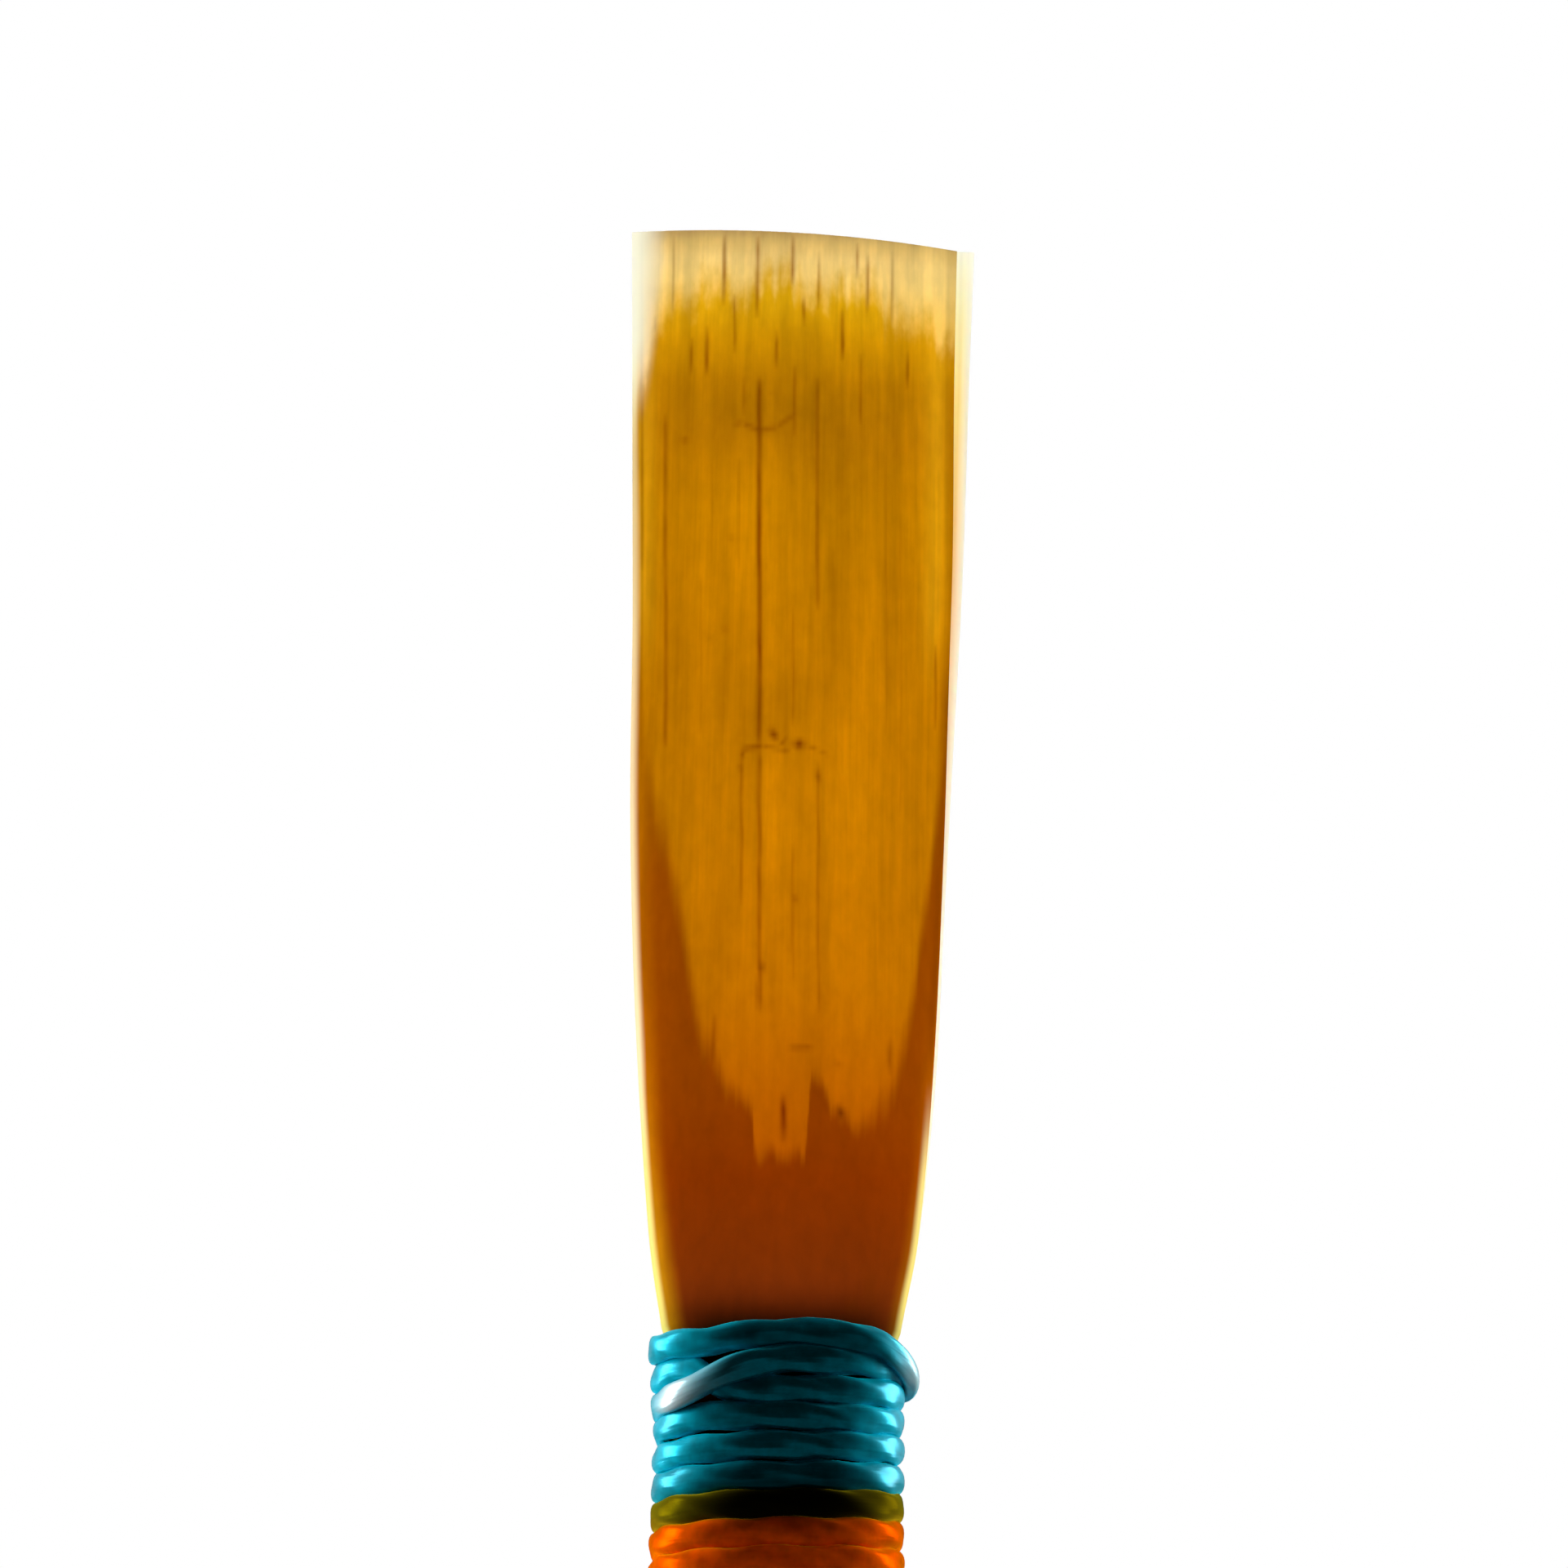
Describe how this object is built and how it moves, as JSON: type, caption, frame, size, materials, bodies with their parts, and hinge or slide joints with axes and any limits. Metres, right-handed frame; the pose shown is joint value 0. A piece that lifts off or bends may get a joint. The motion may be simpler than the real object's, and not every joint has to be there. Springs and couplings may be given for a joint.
{
  "type": "english horn reed",
  "caption": "Double reed for an english horn: scraped cane blades bound by coloured thread to a tapered metal staple with an open foot.",
  "frame": {"origin": "centre of the staple's lower end, on the face that the reed stands on", "axes": "+Z along the reed from the staple's foot to the tips of the blades, -Y the way the front blade faces, +X to the right seen from the front"},
  "size_m": [0.0086, 0.0072, 0.055],
  "materials": {
    "staple_brass": "drawn and polished",
    "cane": "scraped cane, with bark left at the lower end",
    "teal_thread": "twisted nylon, glossy",
    "olive_thread": "twisted nylon, glossy",
    "orange_thread": "twisted nylon, glossy"
  },
  "bodies": {
    "root": {"staple": "staple_brass", "blade_front": "cane", "blade_rear": "cane", "thread_teal": "teal_thread", "thread_olive": "olive_thread", "thread_orange": "orange_thread"}
  },
  "joints": []
}
